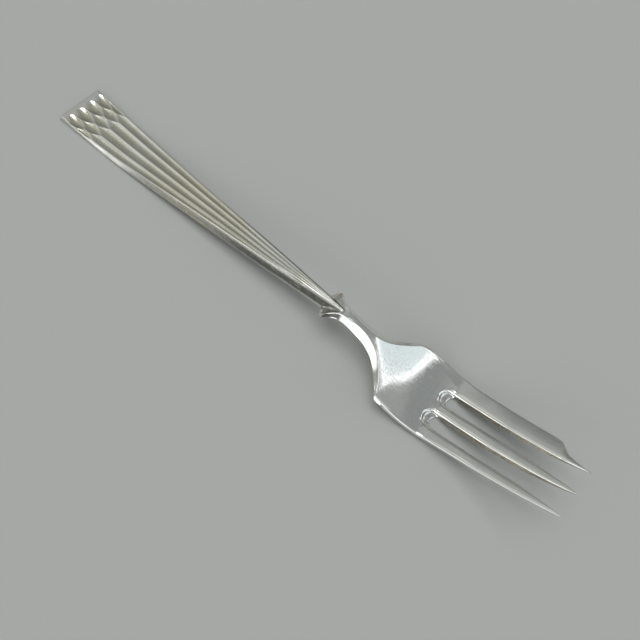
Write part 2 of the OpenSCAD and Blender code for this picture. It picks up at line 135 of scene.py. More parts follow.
# Height of the middle line: share of the neck's height, share of the tips' height
RISE = [
    (0.578, 0.677, 0), (0.5867, 0.721, 0), (0.5953, 0.79, 0), (0.604, 0.883, 0),
    (0.6107, 0.965, 0), (0.6167, 1, 0), (0.6333, 1.002, 0), (0.6467, 0.984, 0),
    (0.6567, 0.946, 0), (0.67, 0.859, 0), (0.684, 0.734, 0), (0.7013, 0.56, 0),
    (0.7167, 0.397, 0), (0.726, 0.316, 0), (0.7467, 0.148, 0), (0.7633, 0.042, 0),
    (0.7767, 0.004, 0), (0.7867, 0, 0), (0.7967, 0, 0.006), (0.81, 0, 0.0401),
    (0.82, 0, 0.0777), (0.8333, 0, 0.1338), (0.8467, 0, 0.1942), (0.8653, 0, 0.2694),
    (0.884, 0, 0.3561), (0.9007, 0, 0.4462), (0.9193, 0, 0.5442), (0.936, 0, 0.6387),
    (0.9527, 0, 0.7324), (0.968, 0, 0.8205), (0.9833, 0, 0.9085), (1, 0, 0.991),
]
# Dish, thickness in the middle and at the edge, how far the walls lean out
SECTION = [
    (0.578, 0.24, 0.14, 0.11, 0.04), (0.5867, 1.57, 0.18, 0.42, 0.26),
    (0.5953, 1.55, 0.39, 0.63, 0.6), (0.604, 1.19, 0.7, 0.85, 0.8),
    (0.6107, 0.36, 0.92, 0.95, 0.89), (0.6167, 0, 1, 1, 0.92),
    (0.6333, 0, 1.02, 1.02, 0.97), (0.6467, 0.05, 0.95, 0.92, 1),
    (0.684, 0.4, 0.88, 0.7, 1.05), (0.708, 1.05, 0.9, 0.42, 0.8),
    (0.726, 1.9, 0.95, 0.28, 0.36), (0.7467, 2.3, 1, 0.32, 0.24),
    (0.7867, 1.6, 1, 0.42, 0.16), (0.8133, 1.0, 0.92, 0.56, 0.13),
    (0.8667, 0.4, 0.81, 0.56, 0.1), (0.9333, 0.1, 0.67, 0.5, 0.08),
    (1, 0, 0.5, 0.42, 0.06),
]
# Where the cutting tine's bevel starts, as a share of the far side's width
BEVEL = [
    (0.72, 0.99), (0.7272, 0.985), (0.7473, 0.911), (0.766, 0.835), (0.7847, 0.775),
    (0.8035, 0.65), (0.8159, 0.57), (0.83, 0.5), (0.9413, 0.54), (0.9667, 0.72), (1, 0.93),
]
# Half width of the middle tine, and the way of the inner edges from root to tip
MIDDLE = [
    (0.8, 1), (0.88, 0.96), (0.933, 0.82), (0.9533, 0.72), (0.9667, 0.62),
    (0.9833, 0.42), (0.9947, 0.2), (1, 0.06),
]
INNER = [(0.8, 0), (0.94, 0.04), (0.9667, 0.14), (0.984, 0.4), (1, 0.88)]


# Smooth curves
def curve(places, values, ease):
    """A smooth curve through the points, eased over `ease` mm."""
    x, y = np.array(places, float), np.array(values, float)
    h, d = np.diff(x), np.diff(y) / np.diff(x)
    m = np.zeros(len(x))
    for i in range(1, len(x) - 1):
        if d[i - 1] * d[i] > 0:
            w1, w2 = 2 * h[i] + h[i - 1], h[i] + 2 * h[i - 1]
            m[i] = (w1 + w2) / (w1 / d[i - 1] + w2 / d[i])
    m[0], m[-1] = d[0], d[-1]
    step, beyond = 0.02, 4
    fine = np.arange(x[0] - beyond, x[-1] + beyond, step)
    i = np.clip(np.searchsorted(x, fine) - 1, 0, len(h) - 1)
    t = np.clip((fine - x[i]) / h[i], 0, 1)
    f = (y[i] * (1 + 2 * t) * (1 - t) ** 2 + h[i] * m[i] * t * (1 - t) ** 2
         + y[i + 1] * t * t * (3 - 2 * t) + h[i] * m[i + 1] * t * t * (t - 1))
    f = np.where(fine < x[0], y[0] + m[0] * (fine - x[0]), f)
    f = np.where(fine > x[-1], y[-1] + m[-1] * (fine - x[-1]), f)
    if ease > step:
        k = np.arange(-int(3 * ease / step), int(3 * ease / step) + 1) * step
        g = np.exp(-0.5 * (k / ease) ** 2)
        f = np.convolve(np.pad(f, len(k) // 2, mode="edge"), g / g.sum(), "valid")
    return lambda at: np.interp(at, fine, f)


def columns_of(table, length):
    """Places in mm and the other columns of a table."""
    cols = np.array(table, float).T
    return cols[0] * length, cols[1:]


def smooth_step(t):
    """0 to 1 with a soft start and end."""
    t = np.clip(t, 0, 1)
    return t * t * (3 - 2 * t)


# Lengths over which the tables are eased into curves
STEM_EASE, OUTLINE_EASE, RISE_EASE, PALM_EASE = 0.5, 0.28, 0.5, 1.5
SECTION_EASE, BEVEL_EASE, MIDDLE_EASE, INNER_EASE = 0.4, 0.6, 0.2, 0.3

sx, (s_under, s_thick, s_half, s_flank) = columns_of(STEM, STEM_LEN)
stem_under = curve(sx, s_under * STEM_RISE, STEM_EASE)
stem_thick = curve(sx, s_thick * STEM_T, STEM_EASE)
stem_half = curve(sx, s_half * END_HALF_W, STEM_EASE)
stem_flank = curve(sx, s_flank * FLANK_OUT, STEM_EASE)

nx, (n_out,) = columns_of(NEAR, FORK_LEN)
fx, (f_out,) = columns_of(FAR, FORK_LEN)
near_w = curve(nx, n_out * NEAR_SHOULDER, OUTLINE_EASE)
far_w = curve(fx, f_out * FAR_REACH, OUTLINE_EASE)
rx, (r_neck, r_tip) = columns_of(RISE, FORK_LEN)
r_z = PALM_TOP + r_neck * (NECK_TOP - PALM_TOP) + r_tip * (TIP_TOP - PALM_TOP)
rise_close, rise_even = curve(rx, r_z, RISE_EASE), curve(rx, r_z, PALM_EASE)
cx, (c_dish, c_mid, c_edge, c_wall) = columns_of(SECTION, FORK_LEN)
head_dish = curve(cx, c_dish * DISH, SECTION_EASE)
mid_t = curve(cx, c_mid * PALM_T, SECTION_EASE)
edge_t = curve(cx, c_edge * PALM_T, SECTION_EASE)
wall = curve(cx, c_wall * WALL_OUT, SECTION_EASE)
bx, (b_share,) = columns_of(BEVEL, FORK_LEN)
bevel_share = curve(bx, b_share, BEVEL_EASE)
mx, (m_share,) = columns_of(MIDDLE, FORK_LEN)
middle_w = curve(mx, m_share * MID_HALF_W, MIDDLE_EASE)
ix, (i_share,) = columns_of(INNER, FORK_LEN)
inner_share = curve(ix, i_share, INNER_EASE)


def mid_z(x):
    """Height of the head's middle line; the palm's part is evened out further."""
    ends = 1 - smooth_step((x - EVEN_TO) / EVEN_FADE)
    share = smooth_step((x - EVEN_FROM) / EVEN_FADE) * ends
    return rise_close(x) + (rise_even(x) - rise_close(x)) * share


# Worked face of the stem
RIDGES = [-1, -INNER_RIDGE, 0, INNER_RIDGE, 1]
SCOOP_WIDEST, LENS_WIDEST, OGIVE_POWER = 0.36, 0.53, 1.7


def bowl(u, a):
    """Hollow across a cell that is open as far as a."""
    a = np.maximum(a, 1e-4)
    return a * np.maximum(0, 1 - (u / a) ** 2)


def ogive(t):
    """Half width of a cell with pointed ends."""
    return 1 - np.minimum(1, np.abs(t)) ** OGIVE_POWER


def scoop_open(s):
    """Half width of a drop-shaped scoop: round towards the square end, pointed ahead."""
    turn = SCOOP_WIDEST
    rounded = np.sqrt(np.maximum(0, 1 - (1 - np.clip(s, 0, turn) / turn) ** 2))
    out = np.where(s < turn, rounded, ogive((s - turn) / (1 - turn)))
    return np.where((s <= 0) | (s >= 1), 0, out)


def lens_open(s):
    """Half width of a lens-shaped cell on a ridge: pointed at both ends."""
    turn = LENS_WIDEST
    out = np.where(s < turn, ogive((turn - s) / turn), ogive((s - turn) / (1 - turn)))
    return np.where((s <= 0) | (s >= 1), 0, out)


def flute_room(x):
    """Full depth of the flutes at place x."""
    return FLUTE_DEPTH * (NECK_FLUTE + (1 - NECK_FLUTE) * stem_half(x) / END_HALF_W)


def flute_opened(x):
    """How far the flutes are open at place x: from a point behind the lattice to full width."""
    t = (x - FLUTE_START) / FLUTE_OPEN
    return np.where(t <= 0, 0, np.where(t >= 1, 1, ogive(1 - np.clip(t, 0, 1))))


def worked(x, v):
    """Depth of the worked face at place x (column) and share v of the half width (row)."""
    cells = []
    along = (x - SCOOP_START) / SCOOP_LEN
    deepening = np.sin(math.pi / 2 * np.clip(along / SCOOP_FULL, 0, 1))
    fall = SCOOP_SHALLOW + (1 - SCOOP_SHALLOW) * deepening
    for a, b in zip(RIDGES, RIDGES[1:]):
        half = (b - a) / 2
        u = np.abs(v - (a + b) / 2) / half
        cells.append(flute_room(x) * bowl(u, flute_opened(x) * (1 - CREST / half)))
        cells.append(SCOOP_DEPTH * fall * bowl(u, SCOOP_WIDEN * scoop_open(along)))
    lens = LENS_WIDEN * lens_open((x - LENS_START) / LENS_LEN)
    for r in RIDGES:
        cells.append(LENS_DEPTH * bowl(np.abs(v - r) / LENS_HALF, lens))
    deep = sum(c ** CELL_SHARPNESS for c in cells) ** (1 / CELL_SHARPNESS)
    rim = np.minimum(1, (1 - np.abs(v)) / FACE_RIM)
    return rim * np.minimum(1, (STEM_LEN - x) / SCOOP_START) * deep


def edge_drop(x, v):
    """The worked face's roll-off next to its long edges."""
    d = stem_half(x) * (1 - np.abs(v))
    wide = np.minimum(STEM_ROLL_WIDE, STEM_ROLL_MOST * stem_half(x))
    size = STEM_ROLL * wide / STEM_ROLL_WIDE * np.where(v > 0, FAR_EDGE_ROLL, 1)
    return size * np.maximum(0, 1 - d / wide) ** 2


def stem_top(x):
    """Height of the ridges, slightly lower on the band next to the square end."""
    band = np.where(x < SCOOP_START, BAND_DROP * END_T * (1 - x / SCOOP_START), 0)
    return stem_under(x) + stem_thick(x) - band


def to_frame(points):
    """From the fork's own millimetres to the shared frame in metres."""
    p = np.asarray(points, float).reshape(-1, 3)
    return (p - np.array([FORK_LEN / 2, Y_MIDDLE, 0])) / 1000


# Mesh helpers
def make_object(name, points, faces, material, marks):
    """A smooth-shaded mesh; marks are named shares (0 to 1) that the material reads."""
    mesh = bpy.data.meshes.new(name)
    corners = [tuple(int(i) for i in face) for face in faces]
    mesh.from_pydata([tuple(p) for p in to_frame(points)], [], corners)
    mesh.validate()
    mesh.polygons.foreach_set("use_smooth", [True] * len(mesh.polygons))
    for mark, values in marks.items():
        layer = mesh.attributes.new(mark, "FLOAT", "POINT")
        layer.data.foreach_set("value", np.clip(values, 0, 1).astype(np.float32))
    obj = bpy.data.objects.new(name, mesh)
    bpy.context.collection.objects.link(obj)
    obj.data.materials.append(material)
    return obj


def arc(start, corner, end, t):
    """Place at share t of the rounded way from start to end past a corner."""
    return start * (1 - t) ** 2 + 2 * corner * t * (1 - t) + end * t * t


FILLET_SHARE = 0.45  # most that a rounding takes of the shorter side next to it


def fillet(ring, sizes, cuts):
    """Rounds the corners named in sizes, of each closed section (rows x points x 2)."""
    out = []
    rows, count, _ = ring.shape
    for k in range(count):
        if k not in sizes:
            out.append(ring[:, k])
            continue
        p, a, b = ring[:, k], ring[:, (k - 1) % count], ring[:, (k + 1) % count]
        ua, ub = a - p, b - p
        la, lb = np.linalg.norm(ua, axis=1), np.linalg.norm(ub, axis=1)
        r = np.minimum(sizes[k], FILLET_SHARE * np.minimum(la, lb))[:, None]
        pa, pb = p + ua / la[:, None] * r, p + ub / lb[:, None] * r
        out.extend(arc(pa, p, pb, i / cuts) for i in range(cuts + 1))
    return np.stack(out, axis=1)


# Stem

# Points across a flute, across the back and round an edge; sections along the stem
FLUTE_CUTS, BACK_CUTS, FILLET_CUTS = 22, 13, 4
END_ROWS = [0.0, 0.02, 0.06, 0.12, 0.2, 0.3]
LATTICE_FROM, LATTICE_TO, LATTICE_STEP = 0.4, 14.0, 0.11
TONGUE_SHARE, MIDDLE_ROWS, TONGUE_ROWS = 0.925, 130, 40
FLANK_CUTS = [0.25, 0.5, 0.75]
BUNCHING = 0.06  # draws the points of a flute together at its ridges
BACK_SHARE, BACK_BOW = 0.94, 0.05


def stem_ring(x):
    """Closed sections of the stem at the places x: rows x points x (y, z)."""
    x = np.asarray(x, float)[:, None]
    v = []
    for a, b in zip(RIDGES, RIDGES[1:]):
        t = np.arange(FLUTE_CUTS) / FLUTE_CUTS
        t = t - BUNCHING * np.sin(2 * math.pi * t)
        v.extend(a + (b - a) * t)
    v = np.array(v + [1.0])[None, :]
    half, top, under = stem_half(x), stem_top(x), stem_under(x)
    w = half + stem_flank(x)
    face = np.stack([v * half, top - worked(x, v) - edge_drop(x, v)], axis=-1)
    one = np.ones_like(x)
    knee = under + END_T * KNEE

    def spot(y, z):
        return np.stack([y * one, z * one], axis=-1)

    def flank(side, t):
        """Point at share t of the way down the far (1) or the near (-1) flank."""
        start = top - edge_drop(x, side)
        out = half + (w - half) * t + FLANK_BOW * np.sin(math.pi * t)
        return spot(side * out, start + (knee - start) * t)

    far = [flank(1, t) for t in FLANK_CUTS] + [spot(w, knee)]
    near = [spot(-w, knee)] + [flank(-1, t) for t in reversed(FLANK_CUTS)]
    across = np.linspace(BACK_SHARE, -BACK_SHARE, BACK_CUTS)
    back = [spot(w * s, under + BACK_BOW * END_T * s * s) for s in across]
    ring = np.concatenate([face] + far + back + near, axis=1)
    last_face = v.shape[1] - 1
    far_knee = last_face + len(far)
    near_knee = far_knee + BACK_CUTS
    sizes = {0: EDGE_FILLET, last_face: EDGE_FILLET}
    sizes.update({k: KNEE_FILLET for k in (far_knee, far_knee + 1, near_knee, near_knee + 1)})
    return fillet(ring, sizes, FILLET_CUTS)


# Marks of the stem: depths in mm, shares of the flank's height, places along the stem in mm
SKIN, FLUTE_LEAST, WORN_DEPTH, WORN_LOW = 0.04, 0.05, 0.03, 0.1
CLEANED, CLEAN_FROM, CLEAN_OVER = 0.75, 58, 22
# the hollows' tarnish grows with depth; the flanks carry a faint painted dark reflection, deeper
# towards their lower edge
TARNISH_POWER, FLANK_PAINTED_DARK, LOW_PAINTED_DARK = 1.3, 0.05, 0.15
# where the flanks' stronger painted dark reflection lies: shares of the flank's height from the
# top and from the bottom, their softness, then its least share and where it grows towards the neck
DARK_REFLECTION_TOP, DARK_REFLECTION_LOW, DARK_REFLECTION_SOFT = 0.06, 0.9, 0.12
DARK_REFLECTION_LEAST, DARK_REFLECTION_FROM, DARK_REFLECTION_OVER = 0.25, 46, 20


def stem_marks(points):
    """Tarnish in the worked hollows, a painted dark reflection on the flanks, wear on the crests
    and edges.
    """
    x, y, z = points.T
    v = np.clip(y / stem_half(x), -1, 1)
    deep = worked(x, v)
    edge = stem_top(x) - edge_drop(x, np.sign(y))
    on_face = z > stem_top(x) - deep - edge_drop(x, v) - SKIN
    hollow = np.clip(deep / np.maximum(flute_room(x), FLUTE_LEAST), 0, 1)
    low = np.clip((edge - z) / (edge - stem_under(x)), 0, 1)
    clean = 1 - CLEANED * smooth_step((x - CLEAN_FROM) / CLEAN_OVER)
    # tarnish in the hollows; on the flanks a faint painted dark reflection, deeper lower down
    tarnish_and_painted_dark = np.where(on_face, clean * hollow ** TARNISH_POWER, FLANK_PAINTED_DARK + LOW_PAINTED_DARK * low)
    bare = np.where(on_face, deep / WORN_DEPTH, low / WORN_LOW)
    # a painted dark reflection on the flanks between their top and bottom edges, stronger towards
    # the neck
    inside = smooth_step((low - DARK_REFLECTION_TOP) / DARK_REFLECTION_SOFT)
    inside = inside * smooth_step((DARK_REFLECTION_LOW - low) / DARK_REFLECTION_SOFT)
    along = DARK_REFLECTION_LEAST + (1 - DARK_REFLECTION_LEAST) * smooth_step((x - DARK_REFLECTION_FROM) / DARK_REFLECTION_OVER)
    darkening = np.where(on_face, 0, inside * along)
    return {"tarnish_and_painted_dark": tarnish_and_painted_dark, "worn": np.clip(1 - bare, 0, 1), "darkening": darkening}


def stem_rows():
    """Places of the stem's sections: fine over the lattice, finer still next to the ends."""
    tongue = TONGUE_SHARE * STEM_LEN
    fine = list(np.arange(LATTICE_FROM, LATTICE_TO, LATTICE_STEP))
    coarse = list(np.linspace(LATTICE_TO, tongue, MIDDLE_ROWS))
    tail = list(np.linspace(tongue, STEM_LEN, TONGUE_ROWS))[1:]
    return np.array(END_ROWS + fine + coarse + tail)


def build_stem(material):
    """The stem's skin: sections joined by quads, a flat square end and a point."""
    x = stem_rows()
    ring = stem_ring(x)
    rows, count, _ = ring.shape
    near_end = np.maximum(0, END_ROUND - x)
    inset = END_ROUND - np.sqrt(np.maximum(0, END_ROUND ** 2 - near_end ** 2))
    tangent = np.roll(ring, -1, axis=1) - np.roll(ring, 1, axis=1)
    tangent /= np.linalg.norm(tangent, axis=2, keepdims=True) + TINY
    inward = np.stack([tangent[..., 1], -tangent[..., 0]], axis=-1)
    ring = ring + inward * inset[:, None, None]
    places = np.broadcast_to(x[:, None, None], (rows, count, 1))
    pts = np.concatenate([places, ring], axis=2).reshape(-1, 3)
    faces = []
    for i in range(rows - 1):
        for k in range(count):
            n = (k + 1) % count
            faces.append((i * count + k, (i + 1) * count + k, (i + 1) * count + n, i * count + n))
    middle = len(pts)
    centre = ring[0].mean(axis=0)
    cap = np.column_stack([np.zeros(count), centre + (ring[0] - centre) * CAP_SHARE])
    pts = np.concatenate([pts, cap, [[0, *centre]]])
    for k in range(count):
        n = (k + 1) % count
        faces.append((k, n, middle + n, middle + k))
        faces.append((middle + k, middle + n, middle + count))
    last = len(pts)
    pts = np.concatenate([pts, [[STEM_LEN, *ring[-1].mean(axis=0)]]])
    for k in range(count):
        n = (k + 1) % count
        faces.append(((rows - 1) * count + n, (rows - 1) * count + k, last))
    return make_object("stem_silver_body", pts, faces, material, stem_marks(pts))


# Head

# Columns run from the near edge to the far edge: near tine, slot, middle tine, slot, far tine
NEAR_N, MID_N, FAR_N, SLOT_N = 16, 14, 20, 24
NEAR_END = NEAR_N
MID_START = NEAR_N + SLOT_N
MID_END = MID_START + MID_N
FAR_START = MID_END + SLOT_N
COLUMNS = FAR_START + FAR_N
ROOT_REACH = (NEAR_INNER - MID_HALF_W) / 2
PAST_ROOTS = ROOT_X + ROOT_REACH
NOTCH_X = STEM_LEN + SOLDER_T
BLEND_FROM = ROOT_X - 1.6 * ROOT_SLOPE
SLOTS = ((-1, ROOT_REACH), (1, (FAR_INNER - MID_HALF_W) / 2))  # side (-1 near), root radius
J = np.arange(COLUMNS + 1)


def inner_edge(x, root, tip):
    """Distance of an outer tine's inner edge from the middle line."""
    return root + (tip - root) * inner_share(x)


def bevel_from(x):
    """Across place where the cutting tine's bevel starts."""
    inner = inner_edge(x, FAR_INNER, FAR_TIP)
    return np.maximum(far_w(x) * bevel_share(x), inner + BEVEL_LEAST * (far_w(x) - inner))


def half_at(x, y):
    """Half width of the head's top on the side of y."""
    return np.where(y < 0, near_w(x), far_w(x))


def thinned(x, y):
    """How much the cutting tine's bevel takes off the top."""
    start, fold = bevel_from(x), BEVEL_FOLD
    t = np.clip((y - start) / (far_w(x) - start), 0, 1)
    slope = np.where(t < fold, t * t / (2 * fold), t - fold / 2) / (1 - fold / 2)
    return CUT_BEVEL * smooth_step((x - BEVEL_FROM_X) / BEVEL_GROWS) * slope


def over_z(x, y):
    """Height of the dished top before the bevel and the roll-offs."""
    return mid_z(x) + head_dish(x) * (y / half_at(x, y)) ** 2


def rolled(x, y):
    """The top's roll-off next to the outer edges and behind the slots' roots."""
    d = np.maximum(0, half_at(x, y) - np.abs(y))
    drop = PALM_ROLL + (OUTER_ROLL - PALM_ROLL) * smooth_step((x - OUTER_FROM) / OUTER_OVER)
    out = drop * smooth_step((x - NOTCH_X) / NOTCH_OVER) * np.maximum(0, 1 - d / ROLL_WIDE) ** 2
    for side, radius in SLOTS:
        aside = y - side * (MID_HALF_W + radius)
        away = np.hypot(x - PAST_ROOTS, aside)
        turn = smooth_step((np.abs(aside) / np.maximum(away, 0.01) - BEHIND_TURN) / BEHIND_SOFT)
        edge = ROOT_ROLL * np.maximum(0, 1 - np.maximum(0, away - radius) / ROOT_ROLL_WIDE) ** 2
        share = BEHIND_LEAST + (1 - BEHIND_LEAST) * turn
        out = out + edge * share * (x <= PAST_ROOTS + NUDGE)
    return out


def ringed(x, y):
    """Shallow dip that the press left round each slot's root."""
    out = 0
    for side, radius in SLOTS:
        aside = y - side * (MID_HALF_W + radius)
        d = np.hypot(np.minimum(0, x - PAST_ROOTS), aside) - radius
        out = out + RING_DROP * np.exp(-((d - RING_OUT) / RING_WIDE) ** 2) * (x < PAST_ROOTS)
    return out


def top_z(x, y):
    """Height of the head's top, without the tines' crowns."""
    return over_z(x, y) - thinned(x, y) - rolled(x, y) - ringed(x, y)


def thick_at(x, y):
    """Thickness of the head."""
    return mid_t(x) + (edge_t(x) - mid_t(x)) * (y / half_at(x, y)) ** 2


def slot_angle(j):
    """Angle of a column on its slot's round root, 0 to pi."""
    return math.pi * ((j - NEAR_END) if j < MID_START else (j - MID_END)) / SLOT_N


def slot_of(j):
    """Side and root radius of a column's slot."""
    return SLOTS[0 if j < MID_START else 1]


def in_slot(j):
    """Whether a column runs into a slot's root, without the tines' own edges."""
    return NEAR_END < j < MID_START or MID_END < j < FAR_START


def eased(t):
    """0 to 1 with fine steps at both ends."""
    return (1 - np.cos(math.pi * np.clip(t, 0, 1))) / 2


def root_y(j):
    """Across place of a column where the slots begin."""
    if j <= NEAR_END:
        return -near_w(ROOT_X) + (near_w(ROOT_X) - NEAR_INNER) * eased(j / NEAR_N)
    if j >= FAR_START:
        return FAR_INNER + (far_w(ROOT_X) - FAR_INNER) * eased((j - FAR_START) / FAR_N)
    if MID_START <= j <= MID_END:
        return MID_HALF_W * (2 * eased((j - MID_START) / MID_N) - 1)
    side, radius = slot_of(j)
    return side * (MID_HALF_W + radius) - radius * math.cos(slot_angle(j))


ROOT_YS = np.array([float(root_y(j)) for j in range(COLUMNS + 1)])
ROOT_HALF = half_at(ROOT_X, ROOT_YS)
ROOT_SHARE = ROOT_YS / ROOT_HALF
# Share of each column between the outer edge (1) and the middle strip's edge (0)
SIDE_SHARE = (np.abs(ROOT_YS) - MID_HALF_W) / (ROOT_HALF - MID_HALF_W)


def flank_y(x, z):
    """Half width of the stem at height z."""
    top = stem_top(x)
    t = np.clip((top - z) / (top - stem_under(x) - END_T * KNEE), 0, 1)
    return stem_half(x) + stem_flank(x) * t


def notch_edge(x, under):
    """Half width of the notch, outside the solder, at the head's top (0) or underside (1)."""
    at = np.minimum(x, STEM_LEN)
    y = flank_y(at, mid_z(at))
    for _ in range(4):  # width and height depend on each other; four rounds settle them
        flat = y * near_w(at) / (near_w(at) + under * wall(at))
        z = over_z(at, -flat) - (thick_at(at, -flat) if under else 0)
        y = flank_y(at, z)
    return y + SOLDER_T


def strip_half(x, under):
    """Half width of the middle columns: the notch behind the point, the tine's root ahead."""
    t = smooth_step((x - NOTCH_X) / (BLEND_FROM - NOTCH_X))
    here = MID_HALF_W * np.minimum(near_w(x) / near_w(ROOT_X), far_w(x) / far_w(ROOT_X))
    here = here * (1 + under * wall(x) / near_w(x))
    return (1 - t) * notch_edge(x, under) + t * here


def plan_row(x, under):
    """Across places of all columns at one place x behind the slots' roots."""
    x = np.broadcast_to(np.asarray(x, float), (COLUMNS + 1,))
    s = strip_half(x, under)
    mid = ROOT_YS / MID_HALF_W * s
    out = under * wall(x)
    near = -(s + (near_w(x) + out - s) * SIDE_SHARE)
    far = s + (far_w(x) + out - s) * SIDE_SHARE
    return np.where(J < MID_START, near, np.where(J > MID_END, far, mid))


# Way across each tine from its near edge to its far edge
NEAR_WAY = eased(J / NEAR_N)
MID_WAY = eased((J - MID_START) / MID_N)
FAR_WAY = eased((J - FAR_START) / FAR_N)
IN_MIDDLE = (J >= MID_START) & (J <= MID_END)


def tine_row(x):
    """Across places of all columns at one place x on the tines."""
    x = np.broadcast_to(np.asarray(x, float), (COLUMNS + 1,))
    near_in, far_in = inner_edge(x, NEAR_INNER, NEAR_TIP), inner_edge(x, FAR_INNER, FAR_TIP)
    near = -near_w(x) + (near_w(x) - near_in) * NEAR_WAY
    y = np.where(J <= NEAR_END, near, np.where(J < MID_START, -near_in, far_in))
    y = np.where(IN_MIDDLE, middle_w(x) * (2 * MID_WAY - 1), y)
    return np.where(J >= FAR_START, far_in + (far_w(x) - far_in) * FAR_WAY, y)


FLARE_TO, TIPS_FROM, LEAN_OVER = 140.0, 141.0, 11.0


def flared(x):
    """How far the slots' walls come in at the underside."""
    near = np.where(J <= NEAR_END, NEAR_WAY, 0)
    mid = np.where(IN_MIDDLE, 2 * MID_WAY - 1, 0)
    far = np.where(J >= FAR_START, FAR_WAY - 1, 0)
    fade = 1 - smooth_step((x - FLARE_TO) / (FORK_LEN - FLARE_TO))
    return SLOT_FLARE * fade * (near + mid + far)


def last_x():
    """Where each column ends at the slots' roots."""
    back = [slot_of(j)[1] * math.sin(slot_angle(j)) if in_slot(j) else 0 for j in J]
    return PAST_ROOTS - np.array(back)


# Sections along the head: beside the notch, up to the roots' blend, over it, and on the tines
SPUR_X = np.linspace(SPUR_FROM, NOTCH_X, 26)
NECK_X = np.linspace(NOTCH_X, BLEND_FROM, 76)[1:]
BLEND_N, BLEND_FAST, BLEND_HELD = 20, 1.4, 4.0
LATE_X = np.concatenate([
    np.linspace(PAST_ROOTS, TIPS_FROM, 44)[1:], np.linspace(TIPS_FROM, FORK_LEN, 34)[1:],
])
NOTCH_ROW = len(SPUR_X) - 1
ROOT_ROW = NOTCH_ROW + len(NECK_X) + BLEND_N
ROWS = ROOT_ROW + len(LATE_X)


def plan_grid(under):
    """Places (x, y) of all rows and columns of the top (0) or the underside (1)."""
    xs, ys = [], []
    for x in list(SPUR_X) + list(NECK_X):
        xs.append(np.full(COLUMNS + 1, x))
        ys.append(plan_row(x, under))
    last = last_x() + under * ROOT_SLOPE
    for i in range(1, BLEND_N + 1):
        t = i / BLEND_N
        x = BLEND_FROM + (last - BLEND_FROM) * math.sin(math.pi / 2 * t)
        half = half_at(x, ROOT_YS)
        blend = smooth_step(t * BLEND_FAST)
        held = np.minimum(x, BLEND_FROM + BLEND_HELD)
        base = np.array([plan_row(v, under)[k] for k, v in enumerate(held)])
        xs.append(x)
        ys.append(base * (1 - blend) + (half + under * wall(x)) * ROOT_SHARE * blend)
    for x in LATE_X:
        fade = max(0.0, 1 - (x - PAST_ROOTS) / LEAN_OVER)
        at = x + under * ROOT_SLOPE * fade
        row = tine_row(at)
        xs.append(np.full(COLUMNS + 1, at))
        ys.append(row * (1 + under * wall(at) / half_at(at, row)) + under * flared(at))
    return np.array(xs), np.array(ys)


def is_metal(i, j):
    """Whether the grid's cell at row i and column j is metal, not notch, slot or air."""
    if not (0 <= i < ROWS and 0 <= j < COLUMNS):
        return False
    if i < NOTCH_ROW:
        return j < MID_START or j >= MID_END
    if i < ROOT_ROW:
        return True
    return j < NEAR_END or MID_START <= j < MID_END or j >= FAR_START


def domed(x, y):
    """How much lower the top of each tine is towards its edges (grids of rows x columns)."""
    near = (near_w(x) - inner_edge(x, NEAR_INNER, NEAR_TIP)) / 2
    far = (far_w(x) - inner_edge(x, FAR_INNER, FAR_TIP)) / 2
    half = np.where(J <= NEAR_END, near, np.where(J <= MID_END, middle_w(x), far))
    centre = np.where(J <= NEAR_END, near - near_w(x), np.where(J <= MID_END, 0, far_w(x) - far))
    across = np.clip((y - centre) / half, -1, 1)
    size = np.minimum(1, half / MID_HALF_W)
    slot_side = np.where(J <= NEAR_END, across > 0, np.where(J <= MID_END, 1, across < 0))
    # the crown grows fast at the slots and slowly at the outer edges
    ramp = smooth_step((x - ROOT_X + 1) / np.where(slot_side, SLOT_CROWN_OVER, OUTER_CROWN_OVER))
    near_root = 1 - smooth_step((x - PAST_ROOTS - 1) / 5)
    wide = size * (ROLL_WIDE + (ROOT_ROLL_WIDE - ROLL_WIDE) * near_root)
    deep = size * (TINE_ROLL + (ROOT_ROLL - TINE_ROLL) * near_root)
    edge = deep * slot_side * np.maximum(0, 1 - half * (1 - np.abs(across)) / wide) ** 2
    edge = edge * (x > PAST_ROOTS + NUDGE)
    in_slots = (J > NEAR_END) & (J < MID_START) | (J > MID_END) & (J < FAR_START)
    behind = np.arange(ROWS + 1)[:, None] <= ROOT_ROW
    return np.where(behind & in_slots, 0, TINE_CROWN * size * across ** 2 * ramp + edge)


def build_head():
    """The head's top and underside as one grid each, and the open rims between them."""
    tx, ty = plan_grid(0)
    ux, uy = plan_grid(1)
    top = np.stack([tx, ty, top_z(tx, ty) - domed(tx, ty)], axis=-1)
    flat = uy * half_at(ux, uy) / (half_at(ux, uy) + wall(ux))
    low_z = over_z(ux, flat) - thick_at(ux, flat) - rolled(ux, flat)
    low = np.stack([ux, uy, np.maximum(NUDGE, low_z)], axis=-1)
    stride = COLUMNS + 1
    layer = (ROWS + 1) * stride
    pts = np.concatenate([top.reshape(-1, 3), low.reshape(-1, 3)])
    faces, edges = [], []

    def at(i, j):
        return i * stride + j

    for i in range(ROWS):
        for j in range(COLUMNS):
            if not is_metal(i, j):
                continue
            a, b, c, d = at(i, j), at(i, j + 1), at(i + 1, j + 1), at(i + 1, j)
            faces.append((a, d, c, b))
            faces.append((layer + a, layer + b, layer + c, layer + d))
            if not is_metal(i - 1, j):
                edges.append((b, a))
            if not is_metal(i + 1, j):
                edges.append((d, c))
            if not is_metal(i, j - 1):
                edges.append((a, d))
            if not is_metal(i, j + 1):
                edges.append((c, b))
    return pts, faces, edges, layer


RIM_CUTS = 3
WALL_SHARE, ROOM_SHARE, FAR_OFF = 0.33, 0.7, 9.0  # limits of the rims' rounding


